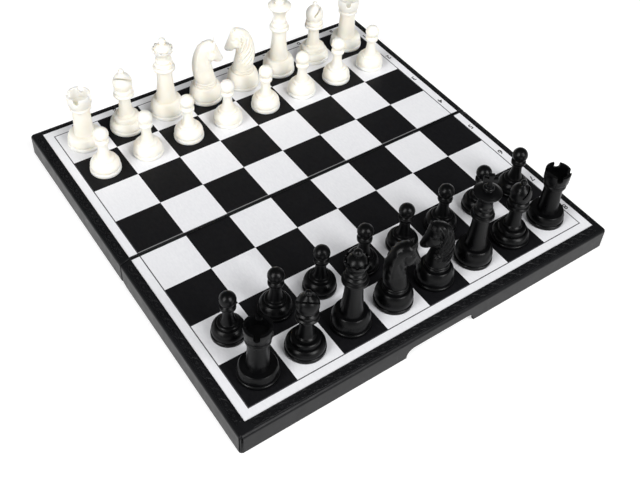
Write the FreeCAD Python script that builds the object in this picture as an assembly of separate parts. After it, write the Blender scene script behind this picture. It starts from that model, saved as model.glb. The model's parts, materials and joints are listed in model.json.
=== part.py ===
import FreeCAD, Part
import math
import os
from FreeCAD import Vector

# A folding magnetic chess set lying open on a table, with its men set up.
# Millimetres. The origin is on the table under the middle of the fold line.
# +X runs to the right as seen from the black side, +Y from black to white, +Z up.

# Playing surface
squares_per_side = 8
square_size = 36.2
border_width = 7.2
grid_gap = 3.0
sheet_thickness = 0.4
plate_thickness = 0.5
inlay_clearance = 0.15

# Case halves: moulded trays, open underneath, with a sloping frame on top
fold_gap = 0.5
case_height = 20.0
lip_height = 0.4
bevel_width = 8.0
bevel_drop = 2.6
side_wall = 2.4
fold_wall = 3.2
panel_thickness = 1.8
corner_radius = 2.5
hollow_corner_radius = 3.0

# Finger notch in the rim of the near half
notch_width = 60.0
notch_depth = 8.0
notch_corner_radius = 6.5

# Feet under the rims, which nest inside the other half when the case is folded
foot_length = 18.0
foot_thickness = 2.6
foot_root_height = 6.0
foot_inset = 46.0
foot_stagger = 26.0
nest_clearance = 0.4

# Hinges at both ends of the fold line
closed_gap = 0.2
pin_diameter = 1.8
pin_running_clearance = 0.05
pin_seat_clearance = 0.02
knuckle_radius = 2.0
knuckle_length = 8.0
knuckle_gap = 0.4
knuckle_relief = 0.4
knuckle_table_clearance = 0.1
knuckles_per_hinge = 3
hinge_inset = 9.0
rim_relief_length = 6.0
rim_relief_height = 2.0

# Chess men
officer_base_diameter = 28.0
pawn_base_diameter = 24.0
base_ring_height = 3.4
base_edge = 0.6
base_groove_depth = 1.1
base_groove_height = 0.7
bell_fullness = 0.8
bell_shoulder = 0.6
tall_ledge_inset = 3.2
tall_ledge_z = 14.8
bishop_ledge_inset = 2.9
bishop_ledge_z = 9.4
rook_ledge_inset = 2.0
rook_ledge_z = 10.6
pawn_ledge_inset = 3.3
pawn_ledge_z = 11.5
king_height = 82.0
queen_height = 73.5
bishop_height = 58.0
knight_height = 58.0
rook_height = 49.0
pawn_height = 41.5
cross_height = 10.0
cross_width = 9.6
cross_thickness = 3.4
battlement_slots = 4
battlement_slot_width = 4.2
battlement_slot_depth = 4.6
rook_crown_bore = 14.6
rook_crown_floor_z = 40.0
pawn_ball_diameter = 11.6
pawn_neck = 7.2
queen_ball_diameter = 6.2
queen_ball_neck = 3.6
bishop_knob_diameter = 4.6
bishop_knob_neck = 3.4
coronet_notches = 10
coronet_notch_radius = 1.3
coronet_notch_depth = 1.4
mitre_cut_width = 1.3
mitre_cut_slope = 50.0
mitre_cut_start = 0.8
knight_neck_z = 19.2
knight_head_width = 11.0

# How each man is turned on its square, in degrees from the way it is drawn
facing = {
    "left_rook": -37.0,
    "left_bishop": -127.0,
    "queen": 0.0,
    "left_knight": -20.0,
    "right_knight": 160.0,
    "king": -37.0,
    "right_bishop": -37.0,
    "right_rook": -37.0,
}

# Magnets in the bases
magnet_diameter = 15.0
pawn_magnet_diameter = 12.0
magnet_thickness = 2.0
magnet_recess = 0.2
magnet_clearance = 0.1

# How far cutting shapes reach past the faces that they cut, and joined shapes into each other
overcut = 1.0

# Sizes that follow from the ones above
half_side = squares_per_side / 2 * square_size
sheet_half_width = half_side + border_width
sheet_start = grid_gap / 2
sheet_end = sheet_start + half_side + border_width
case_half_width = sheet_half_width + bevel_width
case_start = fold_gap / 2
case_end = sheet_end + bevel_width
rim_z = knuckle_radius + knuckle_table_clearance + closed_gap / 2
lip_z = rim_z + case_height
sheet_top_z = lip_z - lip_height
plate_top_z = sheet_top_z - sheet_thickness
pocket_z = plate_top_z - plate_thickness
hollow_top_z = pocket_z - panel_thickness
hollow_half_width = case_half_width - side_wall
hollow_start = case_start + fold_wall
hollow_end = case_end - side_wall
hinge_z = rim_z - closed_gap / 2
hinge_outer_x = case_half_width - hinge_inset
officer_radius = officer_base_diameter / 2
pawn_radius = pawn_base_diameter / 2

X_AXIS = Vector(1, 0, 0)
Y_AXIS = Vector(0, 1, 0)
Z_AXIS = Vector(0, 0, 1)
ORIGIN = Vector(0, 0, 0)


def block(low, high):
    """A box between two opposite corners."""
    size = [b - a for a, b in zip(low, high)]
    return Part.makeBox(size[0], size[1], size[2], Vector(*low))


def prism(points, direction):
    """A polygon of 3-D points, extruded along a vector."""
    wire = Part.makePolygon(points + points[:1])
    return Part.Face(wire).extrude(direction)


def round_upright_edges(solid, radius, chosen):
    """Fillets the vertical edges whose plan position passes a test."""
    edges = []
    for edge in solid.Edges:
        along = edge.tangentAt(edge.FirstParameter)
        if along.isParallel(Z_AXIS, 1e-6) and chosen(edge.CenterOfMass):
            edges.append(edge)
    return solid.makeFillet(radius, edges)


def bevelled_block():
    """The outside of a case half, in +Y, with its frame sloping down on three sides."""
    solid = block((-case_half_width, case_start, rim_z), (case_half_width, case_end, lip_z))
    solid = round_upright_edges(solid, corner_radius, lambda c: c.y > case_start + corner_radius)
    low = lip_z - bevel_drop
    for side in (-1, 1):
        outer, inner = side * case_half_width, side * (case_half_width - bevel_width)
        section = [
            Vector(outer, 0, low),
            Vector(inner, 0, lip_z),
            Vector(outer, 0, lip_z),
        ]
        solid = solid.cut(prism(section, Vector(0, case_end, 0)))
    section = [
        Vector(-case_half_width, case_end, low),
        Vector(-case_half_width, case_end - bevel_width, lip_z),
        Vector(-case_half_width, case_end, lip_z),
    ]
    return solid.cut(prism(section, Vector(2 * case_half_width, 0, 0)))


def hollow():
    """The storage space under a case half's panel, in +Y."""
    solid = block(
        (-hollow_half_width, hollow_start, rim_z),
        (hollow_half_width, hollow_end, hollow_top_z),
    )
    return round_upright_edges(solid, hollow_corner_radius, lambda c: True)


def inlay_pocket():
    """The shallow pocket in a case half's top for the steel plate and the printed sheet."""
    half_width = sheet_half_width + inlay_clearance
    return block(
        (-half_width, sheet_start - inlay_clearance, pocket_z),
        (half_width, sheet_end + inlay_clearance, lip_z),
    )


def foot(x, wall_y, inward):
    """One foot: a lug rooted on the inside of a wall that reaches down past the rim."""
    clear = wall_y + inward * nest_clearance
    back = clear + inward * foot_thickness
    lug = block(
        (x - foot_length / 2, min(clear, back), 0),
        (x + foot_length / 2, max(clear, back), rim_z + foot_root_height),
    )
    root = block(
        (x - foot_length / 2, min(wall_y, back), rim_z),
        (x + foot_length / 2, max(wall_y, back), rim_z + foot_root_height),
    )
    return lug.fuse(root)


def knuckle_spans(side):
    """X ranges of the hinge knuckles at one end of the fold line, from the end inwards."""
    spans = []
    for i in range(knuckles_per_hinge):
        outer = hinge_outer_x - i * (knuckle_length + knuckle_gap)
        inner = outer - knuckle_length
        spans.append((min(side * outer, side * inner), max(side * outer, side * inner)))
    return spans


def hinge_rod(span, radius, extra=0.0):
    """A round bar on the hinge axis over an X range."""
    start = Vector(span[0] - extra, 0, hinge_z)
    return Part.makeCylinder(radius, span[1] - span[0] + 2 * extra, start, X_AXIS)


def finger_notch():
    """The round-cornered notch in the rim at the middle of the outer wall, in +Y."""
    r = notch_corner_radius
    half, top = notch_width / 2, rim_z + notch_depth
    slope = r * (1 - math.sqrt(0.5))
    y = hollow_end - overcut
    outline = [
        Part.LineSegment(Vector(-half, y, 0), Vector(-half, y, top - r)),
        Part.Arc(
            Vector(-half, y, top - r),
            Vector(-half + slope, y, top - slope),
            Vector(-half + r, y, top),
        ),
        Part.LineSegment(Vector(-half + r, y, top), Vector(half - r, y, top)),
        Part.Arc(
            Vector(half - r, y, top),
            Vector(half - slope, y, top - slope),
            Vector(half, y, top - r),
        ),
        Part.LineSegment(Vector(half, y, top - r), Vector(half, y, 0)),
        Part.LineSegment(Vector(half, y, 0), Vector(-half, y, 0)),
    ]
    wire = Part.Wire([piece.toShape() for piece in outline])
    return Part.Face(wire).extrude(Vector(0, side_wall + 2 * overcut, 0))


def rim_reliefs():
    """Small wedges off the rim's ends by the fold line, in +Y."""
    section = [
        Vector(-case_half_width, case_start, rim_z),
        Vector(-case_half_width, case_start + rim_relief_length, rim_z),
        Vector(-case_half_width, case_start, rim_z + rim_relief_height),
    ]
    left = prism(section, Vector(side_wall, 0, 0))
    return left.fuse(left.mirror(ORIGIN, X_AXIS))


def case_half(near):
    """One moulded half. The near one is drawn in +Y and mirrored."""
    solid = bevelled_block().cut(hollow()).cut(inlay_pocket())
    shift = foot_stagger if near else 0.0
    foot_x = case_half_width - foot_inset - shift
    for side in (-1, 1):
        solid = solid.fuse(foot(side * foot_x, hollow_end, -1))
        solid = solid.fuse(foot(side * foot_x, hollow_start, 1))
    if near:
        solid = solid.cut(finger_notch()).cut(rim_reliefs())
    for side in (-1, 1):
        for i, span in enumerate(knuckle_spans(side)):
            own = (i % 2 == 1) == near
            if own:
                solid = solid.fuse(hinge_rod(span, knuckle_radius))
            else:
                solid = solid.cut(hinge_rod(span, knuckle_radius + knuckle_relief, knuckle_gap))
        for i, span in enumerate(knuckle_spans(side)):
            if (i % 2 == 1) == near:
                clearance = pin_running_clearance if near else pin_seat_clearance
                solid = solid.cut(hinge_rod(span, pin_diameter / 2 + clearance, knuckle_gap))
    solid = solid.removeSplitter()
    return solid.mirror(ORIGIN, Y_AXIS) if near else solid


def inlay(bottom, top):
    """A flat rectangle of the playing surface, in +Y, between two heights."""
    return block((-sheet_half_width, sheet_start, bottom), (sheet_half_width, sheet_end, top))


def hinge_pin(side):
    """The steel pin through one hinge's knuckles."""
    spans = knuckle_spans(side)
    ends = [x for span in spans for x in span]
    return hinge_rod((min(ends), max(ends)), pin_diameter / 2)


def outlined(points):
    """A flat face in the XZ plane from (x, z) points. A four-number entry is an arc through its
    first pair to its second."""
    edges = []
    last = Vector(points[0][0], 0, points[0][1])
    for point in points[1:]:
        end = Vector(point[-2], 0, point[-1])
        if len(point) == 4:
            middle = Vector(point[0], 0, point[1])
            edges.append(Part.Arc(last, middle, end).toShape())
        else:
            edges.append(Part.LineSegment(last, end).toShape())
        last = end
    edges.append(Part.LineSegment(last, Vector(points[0][0], 0, points[0][1])).toShape())
    return Part.Face(Part.Wire(edges))


def turned(points):
    """A solid of revolution from (radius, z) points."""
    return outlined(points).revolve(ORIGIN, Z_AXIS, 360)


def ball_seat(neck, diameter, top):
    """The height at which a ball meets its round neck."""
    return top - diameter / 2 - math.sqrt(diameter ** 2 - neck ** 2) / 2


def ball_points(neck, diameter, top):
    """The profile of a ball on a neck, up to its top on the axis."""
    radius = diameter / 2
    return [(neck / 2, ball_seat(neck, diameter, top)), (radius, top - radius, 0, top)]


def base_points(radius, magnet_width):
    """The profile of a base, from the magnet's pocket to the groove over the bottom ring."""
    pocket = magnet_width / 2 + magnet_clearance
    depth = magnet_recess + magnet_thickness
    ring = base_ring_height
    return [
        (0, depth),
        (pocket, depth),
        (pocket, 0),
        (radius - base_edge, 0),
        (radius, base_edge),
        (radius, ring - base_edge),
        (radius - base_edge, ring),
        (radius - base_groove_depth, ring),
        (radius - base_groove_depth, ring + base_groove_height),
    ]


def bell_points(radius, ledge_inset, top):
    """The round swell of a base, from its groove up to a ledge."""
    start_z = base_ring_height + base_groove_height
    start_r = radius - base_edge
    top_radius = radius - ledge_inset
    middle_r = top_radius + bell_fullness * (start_r - top_radius)
    middle_z = start_z + bell_shoulder * (top - start_z)
    return [(start_r, start_z), (middle_r, middle_z, top_radius, top)]


def rising(points, bottom, top):
    """Profile entries given as radius and share of the rise, as radius and z."""
    def z(share):
        return bottom + share * (top - bottom)
    placed = []
    for p in points:
        placed.append((p[0], z(p[1])) if len(p) == 2 else (p[0], z(p[1]), p[2], z(p[3])))
    return placed


def officer_base(ledge_inset, ledge_z):
    """The base that the taller men share, up to its ledge."""
    return base_points(officer_radius, magnet_diameter) + bell_points(officer_radius, ledge_inset, ledge_z)


def pawn():
    """Ball head on a collar, a slim stem and a stepped bell."""
    stem = [
        (7.7, 0.0),
        (7.6, 0.07),
        (7.0, 0.1),
        (5.4, 0.115),
        (4.2, 0.35, 3.8, 0.75),
        (5.4, 0.82),
        (5.5, 0.94),
        (4.3, 0.965),
    ]
    seat = ball_seat(pawn_neck, pawn_ball_diameter, pawn_height)
    points = base_points(pawn_radius, pawn_magnet_diameter)
    points += bell_points(pawn_radius, pawn_ledge_inset, pawn_ledge_z)
    points += rising(stem, pawn_ledge_z, seat)
    return turned(points + ball_points(pawn_neck, pawn_ball_diameter, pawn_height))


def rook():
    """A straight tower on a drum, with a slotted crown."""
    crown_inner = rook_crown_bore / 2
    tower = [
        (7.9, 0.0),
        (7.3, 0.27, 7.1, 0.625),
        (7.7, 0.645),
        (7.7, 0.68),
        (7.3, 0.695),
        (8.0, 0.75, 9.2, 0.805),
        (9.4, 1.0),
    ]
    points = officer_base(rook_ledge_inset, rook_ledge_z) + rising(tower, rook_ledge_z, rook_height)
    points += [(crown_inner, rook_height), (crown_inner, rook_crown_floor_z), (0, rook_crown_floor_z)]
    solid = turned(points)
    half = battlement_slot_width / 2
    round_z = rook_height - battlement_slot_depth + half
    slot = block((0, -half, round_z), (officer_radius, half, rook_height + overcut))
    slot = slot.fuse(Part.makeCylinder(half, officer_radius, Vector(0, 0, round_z), X_AXIS))
    for i in range(battlement_slots):
        solid = solid.cut(slot.rotated(ORIGIN, Z_AXIS, 360.0 * i / battlement_slots))
    return solid


def bishop():
    """A stepped foot, a slim stem, a double collar and an egg-shaped head with a slanting cut."""
    cut_share = 0.8
    stem = [
        (10.0, 0.0),
        (10.1, 0.02),
        (9.9, 0.075),
        (8.9, 0.09),
        (7.0, 0.09),
        (6.9, 0.125),
        (5.8, 0.145),
        (4.9, 0.29, 4.5, 0.485),
        (8.1, 0.53),
        (8.1, 0.565),
        (6.9, 0.58),
        (7.4, 0.615),
        (7.4, 0.65),
        (5.9, 0.67),
        (7.7, 0.79, 2.2, 0.988),
    ]
    seat = ball_seat(bishop_knob_neck, bishop_knob_diameter, bishop_height)
    points = officer_base(bishop_ledge_inset, bishop_ledge_z) + rising(stem, bishop_ledge_z, seat)
    solid = turned(points + ball_points(bishop_knob_neck, bishop_knob_diameter, bishop_height))
    cutter = block(
        (mitre_cut_start, -officer_radius, 0),
        (officer_radius, officer_radius, mitre_cut_width),
    )
    cutter.rotate(ORIGIN, Y_AXIS, -mitre_cut_slope)
    cutter.translate(Vector(0, 0, bishop_ledge_z + cut_share * (seat - bishop_ledge_z)))
    return solid.cut(cutter)


def queen():
    """A tapered body, collars and a notched coronet round a dome with a ball."""
    rim_radius, rim_share = 8.4, 0.94
    stem = [
        (8.4, 0.0),
        (6.7, 0.251, 6.1, 0.528),
        (8.9, 0.563),
        (8.9, 0.597),
        (6.9, 0.611),
        (7.4, 0.628),
        (7.4, 0.662),
        (5.9, 0.677),
        (6.7, 0.708),
        (6.7, 0.735),
        (5.6, 0.75),
        (6.1, 0.821, 8.2, 0.88),
        (rim_radius, rim_share),
        (7.5, rim_share),
        (7.2, 0.902),
        (5.2, 0.968, 2.6, 0.995),
    ]
    seat = ball_seat(queen_ball_neck, queen_ball_diameter, queen_height)
    points = officer_base(tall_ledge_inset, tall_ledge_z) + rising(stem, tall_ledge_z, seat)
    solid = turned(points + ball_points(queen_ball_neck, queen_ball_diameter, queen_height))
    coronet_z = tall_ledge_z + rim_share * (seat - tall_ledge_z)
    start = Vector(rim_radius - coronet_notch_depth, 0, coronet_z)
    notch = Part.makeCylinder(coronet_notch_radius, coronet_notch_depth + overcut, start, X_AXIS)
    for i in range(coronet_notches):
        solid = solid.cut(notch.rotated(ORIGIN, Z_AXIS, 360.0 * i / coronet_notches))
    return solid


def king():
    """A tapered body, collars, a flared crown with a knob and a flat cross."""
    top = king_height - cross_height
    stem = [
        (8.2, 0.0),
        (6.6, 0.231, 6.1, 0.476),
        (8.4, 0.509),
        (8.4, 0.54),
        (6.6, 0.552),
        (7.0, 0.568),
        (7.0, 0.6),
        (5.4, 0.615),
        (5.9, 0.645),
        (5.9, 0.673),
        (5.2, 0.687),
        (6.2, 0.79, 9.8, 0.881),
        (10.0, 0.902),
        (9.0, 0.909),
        (6.6, 0.93, 4.0, 0.937),
        (3.4, 0.941),
        (4.0, 0.962, 2.4, 0.986),
        (2.2, 1.0),
        (0, 1.0),
    ]
    solid = turned(officer_base(tall_ledge_inset, tall_ledge_z) + rising(stem, tall_ledge_z, top))
    half, waist, flare = cross_width / 2, 0.14 * cross_width, 0.24 * cross_width
    centre = top + 0.55 * cross_height
    right = [
        (flare, top - overcut),
        (waist, centre - waist),
        (half, centre - flare),
        (half, centre + flare),
        (waist, centre + waist),
        (flare, king_height),
    ]
    outline = right + [(-x, z) for x, z in reversed(right)]
    points = [Vector(x, -cross_thickness / 2, z) for x, z in outline]
    return solid.fuse(prism(points, Vector(0, cross_thickness, 0)))


def knight():
    """A ringed base and a horse's head, looking along +X."""
    stem = [
        (9.0, 0.0),
        (9.2, 0.16),
        (9.2, 0.41),
        (8.6, 0.5),
        (9.0, 0.61),
        (9.0, 0.86),
        (8.3, 1.0),
        (0, 1.0),
    ]
    body = turned(officer_base(tall_ledge_inset, tall_ledge_z) + rising(stem, tall_ledge_z, knight_neck_z))
    head = [
        (-8.2, -0.015),
        (-10.3, 0.433, -6.2, 0.804),
        (-0.6, 0.936, 4.6, 0.974),
        (9.4, 1.0),
        (10.0, 0.889),
        (12.8, 0.68, 15.2, 0.521),
        (15.5, 0.459, 13.8, 0.407),
        (10.4, 0.389, 6.8, 0.454),
        (5.5, 0.387),
        (6.9, 0.214, 8.4, -0.015),
    ]
    half = knight_head_width / 2
    rise = knight_height - knight_neck_z
    side_view = outlined(rising(head, knight_neck_z, knight_height))
    side_view = side_view.extrude(Vector(0, knight_head_width, 0)).translated(Vector(0, -half, 0))
    plan = [(-11.0, 0.35), (-7.0, 0.9), (0.0, 1.0), (6.0, 0.85), (11.0, 0.6), (16.0, 0.5)]
    outline = plan + [(x, -y) for x, y in reversed(plan)]
    plan_view = [Vector(x, y * half, knight_neck_z - overcut) for x, y in outline]
    return body.fuse(side_view.common(prism(plan_view, Vector(0, 0, rise + 2 * overcut))))


def magnet(diameter):
    """The disc magnet in a base, seated against the end of its pocket."""
    return Part.makeCylinder(diameter / 2, magnet_thickness, Vector(0, 0, magnet_recess))


def back_row():
    """The men behind the pawns, from left to right, as (name, solid)."""
    drawn = {"rook": rook(), "bishop": bishop(), "queen": queen(), "knight": knight(), "king": king()}
    row = []
    for name, turn in facing.items():
        kind = name.split("_")[-1]
        row.append((name, drawn[kind].rotated(ORIGIN, Z_AXIS, turn)))
    return row


def square_centre(column, row, side):
    """The middle of a square: column from the left, row from the fold line, side -1 or 1."""
    x = (column + 0.5) * square_size - half_side
    y = side * (grid_gap / 2 + (row + 0.5) * square_size)
    return Vector(x, y, sheet_top_z)


def board_nodes():
    """The pieces of the folding board by name."""
    sheet = inlay(plate_top_z, sheet_top_z)
    plate = inlay(pocket_z, plate_top_z)
    return {
        "far_case_half": case_half(False),
        "near_case_half": case_half(True),
        "far_steel_plate": plate,
        "near_steel_plate": plate.mirror(ORIGIN, Y_AXIS),
        "far_printed_sheet": sheet,
        "near_printed_sheet": sheet.mirror(ORIGIN, Y_AXIS),
        "left_hinge_pin": hinge_pin(-1),
        "right_hinge_pin": hinge_pin(1),
    }


def men_nodes():
    """The chess men by name. A pawn's node holds its magnet as a second solid."""
    nodes = {}
    officers = back_row()
    pawn_pair = Part.makeCompound([pawn(), magnet(pawn_magnet_diameter)])
    back, front = squares_per_side // 2 - 1, squares_per_side // 2 - 2
    for colour, side in (("white", 1), ("black", -1)):
        for column, (name, solid) in enumerate(officers):
            place = square_centre(column, back, side)
            nodes[f"{colour}_{name}"] = solid.translated(place)
            nodes[f"{colour}_{name}_magnet"] = magnet(magnet_diameter).translated(place)
        for column in range(squares_per_side):
            nodes[f"{colour}_pawn_{column + 1}"] = pawn_pair.translated(square_centre(column, front, side))
    return nodes


os.makedirs("parts", exist_ok=True)
for node, shape in {**board_nodes(), **men_nodes()}.items():
    print(node, "valid" if shape.isValid() else "NOT VALID", len(shape.Solids), round(shape.Volume, 1))
    shape.exportStep(f"parts/{node}.step")
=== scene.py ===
import json
import math

import bmesh
import bpy
from mathutils import Matrix, Vector
from mathutils.geometry import delaunay_2d_cdt


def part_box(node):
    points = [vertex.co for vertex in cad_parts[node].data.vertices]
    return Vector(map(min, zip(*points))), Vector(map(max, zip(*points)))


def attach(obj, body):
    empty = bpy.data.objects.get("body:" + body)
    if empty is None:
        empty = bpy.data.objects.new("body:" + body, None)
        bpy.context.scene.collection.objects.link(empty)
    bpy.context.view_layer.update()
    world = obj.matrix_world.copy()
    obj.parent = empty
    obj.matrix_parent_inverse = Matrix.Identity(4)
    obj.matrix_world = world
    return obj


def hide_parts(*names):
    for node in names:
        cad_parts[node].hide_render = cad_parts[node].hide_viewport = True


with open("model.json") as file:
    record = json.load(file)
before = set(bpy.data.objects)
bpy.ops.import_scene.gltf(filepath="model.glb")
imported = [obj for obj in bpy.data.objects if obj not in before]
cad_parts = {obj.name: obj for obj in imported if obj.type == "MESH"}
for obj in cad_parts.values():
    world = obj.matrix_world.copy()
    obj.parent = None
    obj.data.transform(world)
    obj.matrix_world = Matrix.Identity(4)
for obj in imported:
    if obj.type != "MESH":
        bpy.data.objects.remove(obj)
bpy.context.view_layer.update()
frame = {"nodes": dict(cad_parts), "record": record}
nodes = frame["nodes"]
scene = bpy.context.scene

# A folding magnetic chess set lying open, with its men set up.
# Metres, except that men and ornaments are drawn in millimetres and scaled by MM.
MM = 0.001

# Sizes read from the frame
far_sheet_low, far_sheet_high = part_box("far_printed_sheet")
far_case_low, far_case_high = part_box("far_case_half")
SHEET_TOP = far_sheet_high.z
SHEET_HALF_WIDTH = far_sheet_high.x
SHEET_START = far_sheet_low.y
CASE_HALF_WIDTH = far_case_high.x
CASE_END = far_case_high.y
LIP_TOP = far_case_high.z
SHEET_END = far_sheet_high.y

# Print and frame sizes
BORDER = 7.2 * MM
ROWS_PER_HALF = 4
SQUARE = (SHEET_HALF_WIDTH - BORDER) / ROWS_PER_HALF
HALF_GRID = ROWS_PER_HALF * SQUARE
GRID_LINE = 0.8 * MM
# Width of the grey band at the fold: partly the sheet's pale cut edge, partly a painted highlight on it
FOLD_EDGE_BAND = 0.9 * MM
BEVEL_WIDTH = CASE_HALF_WIDTH - SHEET_HALF_WIDTH
BEVEL_DROP = 2.6 * MM
GLYPH_SIZE = 7.0 * MM
GLYPH_WEIGHT = 0.12 * MM
GLYPH_LIFT = 0.04 * MM
GLYPH_STEPS = 3

# Rounded edges of the case, where edges up to the short length stay sharp
CASE_EDGE = 0.4 * MM
CASE_EDGE_STEPS = 3
SHORT_EDGE = 4.0 * MM
CASE_CORNER = 2.5 * MM
OUTER_ROUND = 3.0 * MM
OUTER_STEPS = 4
FOLD_ROUND = 1.2 * MM
FOLD_STEPS = 4

# Moulded vine on the frame, in millimetres where it is drawn: its lines at shares of the slope's width, the
# bead as (width, height), a bud as (radius, petals, height) and a leaf as (length, width, height)
VINE_PERIOD = 18.0
VINE_SWING = 2.2
VINE_LINE = 0.39
BEAD_LINES = (0.07, 0.71)
BEAD_SIZE = (0.5, 0.25)
STEM_WIDTH = 0.7
UPPER_STEM_HEIGHT = 0.42
LOWER_STEM_HEIGHT = 0.38
STEM_STEPS = 14
BUD_SIZE = (1.25, 5, 0.7)
LOBE_DEPTH = 0.22
PETAL_STEPS = 6
LEAF_SIZE = (2.6, 1.3, 0.5)
LEAF_OFFSET = 0.9
LEAF_LEAN = 0.35
LEAF_STEPS = 7
LEAF_TIP = 0.02
LEAF_FULLNESS = 0.8
RELIEF_ROOT = 0.15
ORNAMENT_INSET = 3.0 * MM

# Sections of the relief: shares of half its width and of its height, from root to root or to the middle
RIDGE = ((1.0, 0.0), (0.85, 0.55), (0.0, 1.0), (-0.85, 0.55), (-1.0, 0.0))
DOME = ((1.0, 0.0), (0.9, 0.5), (0.55, 0.85), (0.3, 0.55), (0.12, 1.0))

# Camera, fitted to the printed grid: lengths in squares, angles in degrees, pixels of the picture
PICTURE_WIDTH = 640
PICTURE_HEIGHT = 492
FOCAL_PIXELS = 933
CENTRE_ROW = 172
CAMERA_AZIMUTH = -37.28
CAMERA_ELEVATION = 43.79
CAMERA_DISTANCE = 20.06
CAMERA_TARGET = (0.31, 0.05)
CAMERA_ROLL = 3.71
SENSOR_WIDTH_MM = 36.0

# Mesh fineness: steps, the weld of a man's points in millimetres, limits for the same place and the same
# direction, and angles in degrees
TURN_STEPS = 72
ARC_STEPS = 10
WELD = 0.002
SAME_PLACE = 1e-6
FINE_PLACE = 1e-7
SAME_DIRECTION = 0.01
LOOP_SLACK = 1.001
FLAT_DEGREES = 0.6
CASE_HARD_DEGREES = 30
MAN_HARD_DEGREES = 28
SHARP_DEGREES = 35
ORNAMENT_SHARP_DEGREES = 50

# How the men are turned on their squares, in degrees
FACING = {
    "left_rook": -37,
    "left_bishop": -127,
    "left_knight": -20,
    "right_knight": 160,
    "king": -37,
    "right_bishop": -37,
    "right_rook": -37,
}

# Light: panels as (degrees right of the camera, width in metres, watts), the levels of walls and ceiling and
# the sines of the angles between which one fades into the other, and the floor
PANELS = {
    "left_panel": (-44, 1.8, 168.0),
    "right_panel": (50, 2.0, 185.0),
}
PANEL_HEIGHT = 3.3
PANEL_DISTANCE = 4.5
PANEL_ELEVATION = 34
WALL_LEVEL = 0.2
CEILING_LEVEL = 0.16
WALL_TOP_SINE = 0.1
CEILING_START_SINE = 0.5
FLOOR_GLOW = 0.6
FLOOR_HALF_WIDTH = 6.0
FLOOR_COLOUR = (0.62, 0.62, 0.62, 1)
FLOOR_ROUGHNESS = 0.9
WHITE = (1, 1, 1, 1)

# The middle stretch of a noise, which holds most of its values
NOISE_LOW = 0.3
NOISE_HIGH = 0.7


def new_object(name, data):
    """An object in the scene for a mesh, a camera or the like."""
    obj = bpy.data.objects.new(name, data)
    scene.collection.objects.link(obj)
    return obj


def finish_mesh(name, bm, sharp_degrees=SHARP_DEGREES):
    """A smooth-shaded mesh from a bmesh, with edges over an angle kept sharp."""
    bmesh.ops.recalc_face_normals(bm, faces=bm.faces)
    limit = math.radians(sharp_degrees)
    for face in bm.faces:
        face.smooth = True
    for edge in bm.edges:
        if len(edge.link_faces) == 2:
            edge.smooth = edge.calc_face_angle(0.0) < limit
    mesh = bpy.data.meshes.new(name)
    bm.to_mesh(mesh)
    bm.free()
    return mesh


def place_piece(obj, body, slot, *replaced):
    """Says which body a piece rides on and what it stands for, hiding those nodes; the slot, its finish, is
    not used.
    """
    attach(obj, body)
    if replaced:
        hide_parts(*replaced)


# Camera, light and floor

def way_to(azimuth, elevation):
    """The direction from the board to a place round it, by angles in degrees."""
    around, above = math.radians(azimuth), math.radians(elevation)
    return Vector((
        math.sin(around) * math.cos(above),
        -math.cos(around) * math.cos(above),
        math.sin(above),
    ))


def make_camera():
    """The photograph's view."""
    back = way_to(CAMERA_AZIMUTH, CAMERA_ELEVATION)
    target = Vector((CAMERA_TARGET[0] * SQUARE, CAMERA_TARGET[1] * SQUARE, SHEET_TOP))
    right = (-back).cross(Vector((0, 0, 1))).normalized()
    up = right.cross(-back)
    roll = math.radians(CAMERA_ROLL)
    turned_right = math.cos(roll) * right + math.sin(roll) * up
    turned_up = -math.sin(roll) * right + math.cos(roll) * up
    data = bpy.data.cameras.new("camera")
    data.sensor_fit = "HORIZONTAL"
    data.sensor_width = SENSOR_WIDTH_MM
    data.lens = FOCAL_PIXELS / PICTURE_WIDTH * SENSOR_WIDTH_MM
    data.shift_y = (CENTRE_ROW - PICTURE_HEIGHT / 2) / PICTURE_WIDTH
    camera = new_object("camera", data)
    axes = Matrix((turned_right, turned_up, back)).transposed().to_4x4()
    camera.matrix_world = Matrix.Translation(target + back * CAMERA_DISTANCE * SQUARE) @ axes
    scene.camera = camera


def light_panel(name, turn, width, power):
    """A tall soft panel beside the camera, from the floor up, turned to the board."""
    data = bpy.data.lights.new(name, "AREA")
    data.shape = "RECTANGLE"
    data.size = width
    data.size_y = PANEL_HEIGHT
    data.energy = power
    lamp = new_object(name, data)
    back = way_to(CAMERA_AZIMUTH + turn, PANEL_ELEVATION)
    lamp.location = PANEL_DISTANCE * back
    lamp.rotation_euler = (-back).to_track_quat("-Z", "Y").to_euler()
    lamp.visible_camera = False


def make_light():
    """Two soft panels, left and right of the camera, in a room with dim walls and a dimmer ceiling."""
    for name, values in PANELS.items():
        light_panel(name, *values)
    world = bpy.data.worlds.new("world")
    scene.world = world
    world.use_nodes = True
    tree = world.node_tree
    room = tree.nodes["Background"]
    room.inputs["Color"].default_value = WHITE
    split = tree.nodes.new("ShaderNodeSeparateXYZ")
    fade = tree.nodes.new("ShaderNodeMapRange")
    fade.interpolation_type = "SMOOTHSTEP"
    fade.inputs["From Min"].default_value = WALL_TOP_SINE
    fade.inputs["From Max"].default_value = CEILING_START_SINE
    fade.inputs["To Min"].default_value = WALL_LEVEL
    fade.inputs["To Max"].default_value = CEILING_LEVEL
    direction = tree.nodes.new("ShaderNodeTexCoord").outputs["Generated"]
    tree.links.new(direction, split.inputs[0])
    tree.links.new(split.outputs["Z"], fade.inputs["Value"])
    tree.links.new(fade.outputs[0], room.inputs["Strength"])


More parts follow.
